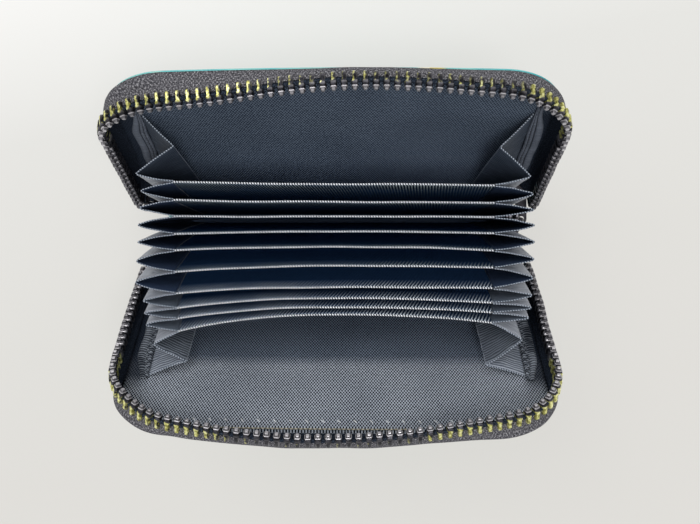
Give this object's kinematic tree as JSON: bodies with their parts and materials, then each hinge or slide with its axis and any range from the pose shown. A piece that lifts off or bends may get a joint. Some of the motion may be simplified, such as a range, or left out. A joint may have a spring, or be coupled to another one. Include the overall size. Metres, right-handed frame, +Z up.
{
  "type": "zip card holder",
  "caption": "Zip-around card holder standing open on its spine, with pleated card pockets between two stiff covers edged with metal zip teeth.",
  "frame": {"origin": "middle of the spine's flat underside, where the open holder stands", "axes": "+X along the spine, +Y towards the back cover, +Z up"},
  "size_m": [0.1206, 0.0931, 0.0731],
  "materials": {
    "shell": "coated cloth with a printed face",
    "board": "stiff paperboard",
    "lining": "dark twill",
    "divider": "dark twill, folded at the top edge",
    "pleat": "thin satin cloth",
    "tape": "woven zip tape",
    "zip_metal": "gunmetal plated, worn to brass at the legs"
  },
  "bodies": {
    "spine": {"spine_shell": "shell", "spine_lining": "lining", "divider_05": "divider", "zip_tail": "zip_metal", "zip_bottom_stop": "zip_metal"},
    "panel_04": {"divider_04": "divider", "pleat_left_04": "pleat", "pleat_right_04": "pleat"},
    "panel_03": {"divider_03": "divider", "pleat_left_03": "pleat", "pleat_right_03": "pleat"},
    "panel_02": {"divider_02": "divider", "pleat_left_02": "pleat", "pleat_right_02": "pleat"},
    "panel_01": {"divider_01": "divider", "pleat_left_01": "pleat", "pleat_right_01": "pleat"},
    "back_cover": {"back_shell": "shell", "back_board": "board", "back_lining": "lining", "back_zip_tape": "tape", "back_zip_teeth": "zip_metal", "back_zip_top_stop": "zip_metal", "gusset_back_left": "pleat", "gusset_back_right": "pleat"},
    "panel_06": {"divider_06": "divider", "pleat_left_05": "pleat", "pleat_right_05": "pleat"},
    "panel_07": {"divider_07": "divider", "pleat_left_06": "pleat", "pleat_right_06": "pleat"},
    "panel_08": {"divider_08": "divider", "pleat_left_07": "pleat", "pleat_right_07": "pleat"},
    "panel_09": {"divider_09": "divider", "pleat_left_08": "pleat", "pleat_right_08": "pleat"},
    "panel_10": {"divider_10": "divider", "pleat_left_09": "pleat", "pleat_right_09": "pleat"},
    "front_cover": {"front_shell": "shell", "front_board": "board", "front_lining": "lining", "front_zip_tape": "tape", "front_zip_teeth": "zip_metal", "front_zip_top_stop": "zip_metal", "gusset_front_left": "pleat", "gusset_front_right": "pleat"},
    "slider": {"slider_body": "zip_metal"},
    "pull": {"pull_tab": "zip_metal"}
  },
  "joints": [
    {"name": "back_cover_swing", "type": "hinge", "parent": "panel_01", "child": "back_cover", "pos_m": [0, 0.01229, 0.00064], "axis": [-1, 0, 0], "range_deg": [-17, 9], "deforming": ["gusset_back_left", "gusset_back_right"]},
    {"name": "divider_04_swing", "type": "hinge", "parent": "spine", "child": "panel_04", "pos_m": [0, 0.00225, 0.002], "axis": [-1, 0, 0], "range_deg": [-2.9, 1.7], "deforming": ["pleat_left_04", "pleat_right_04"]},
    {"name": "divider_03_swing", "type": "hinge", "parent": "panel_04", "child": "panel_03", "pos_m": [0, 0.0053, 0.002], "axis": [-1, 0, 0], "range_deg": [-2.8, 1.7], "deforming": ["pleat_left_03", "pleat_right_03"]},
    {"name": "divider_02_swing", "type": "hinge", "parent": "panel_03", "child": "panel_02", "pos_m": [0, 0.00842, 0.002], "axis": [-1, 0, 0], "range_deg": [-2.7, 1.6], "deforming": ["pleat_left_02", "pleat_right_02"]},
    {"name": "divider_01_swing", "type": "hinge", "parent": "panel_02", "child": "panel_01", "pos_m": [0, 0.01025, 0.002], "axis": [-1, 0, 0], "range_deg": [-3.6, 2.1], "deforming": ["pleat_left_01", "pleat_right_01"]},
    {"name": "front_cover_swing", "type": "hinge", "parent": "panel_10", "child": "front_cover", "pos_m": [0, -0.01243, 0.0006], "axis": [1, 0, 0], "range_deg": [-16.6, 9], "deforming": ["gusset_front_left", "gusset_front_right"]},
    {"name": "divider_06_swing", "type": "hinge", "parent": "spine", "child": "panel_06", "pos_m": [0, -0.00075, 0.002], "axis": [1, 0, 0], "range_deg": [-4.1, 2.3], "deforming": ["pleat_left_05", "pleat_right_05"]},
    {"name": "divider_07_swing", "type": "hinge", "parent": "panel_06", "child": "panel_07", "pos_m": [0, -0.00351, 0.002], "axis": [1, 0, 0], "range_deg": [-4.9, 2.8], "deforming": ["pleat_left_06", "pleat_right_06"]},
    {"name": "divider_08_swing", "type": "hinge", "parent": "panel_07", "child": "panel_08", "pos_m": [0, -0.01169, 0.002], "axis": [1, 0, 0], "range_deg": [-1.7, 1.1], "deforming": ["pleat_left_07", "pleat_right_07"]},
    {"name": "divider_09_swing", "type": "hinge", "parent": "panel_08", "child": "panel_09", "pos_m": [0, -0.01984, 0.002], "axis": [1, 0, 0], "range_deg": [-1.1, 0.7], "deforming": ["pleat_left_08", "pleat_right_08"]},
    {"name": "divider_10_swing", "type": "hinge", "parent": "panel_09", "child": "panel_10", "pos_m": [0, -0.03625, 0.002], "axis": [1, 0, 0], "range_deg": [-0.6, 0.4], "deforming": ["pleat_left_09", "pleat_right_09"]},
    {"name": "slider_slide", "type": "slide", "parent": "spine", "child": "slider", "axis": [0, 0, 1], "range_m": [0, 0.003]},
    {"name": "pull_swing", "type": "hinge", "parent": "slider", "child": "pull", "pos_m": [0.05715, 0.004, 0.0071], "axis": [0, 0, -1], "range_deg": [0, 170]}
  ],
  "couplings": [
    {"joint": "divider_04_swing", "follows": "back_cover_swing", "ratio": 0.17059},
    {"joint": "divider_03_swing", "follows": "back_cover_swing", "ratio": 0.16471},
    {"joint": "divider_02_swing", "follows": "back_cover_swing", "ratio": 0.15882},
    {"joint": "divider_01_swing", "follows": "back_cover_swing", "ratio": 0.21176},
    {"joint": "divider_06_swing", "follows": "front_cover_swing", "ratio": 0.24699},
    {"joint": "divider_07_swing", "follows": "front_cover_swing", "ratio": 0.29518},
    {"joint": "divider_08_swing", "follows": "front_cover_swing", "ratio": 0.10241},
    {"joint": "divider_09_swing", "follows": "front_cover_swing", "ratio": 0.066265},
    {"joint": "divider_10_swing", "follows": "front_cover_swing", "ratio": 0.036145}
  ]
}
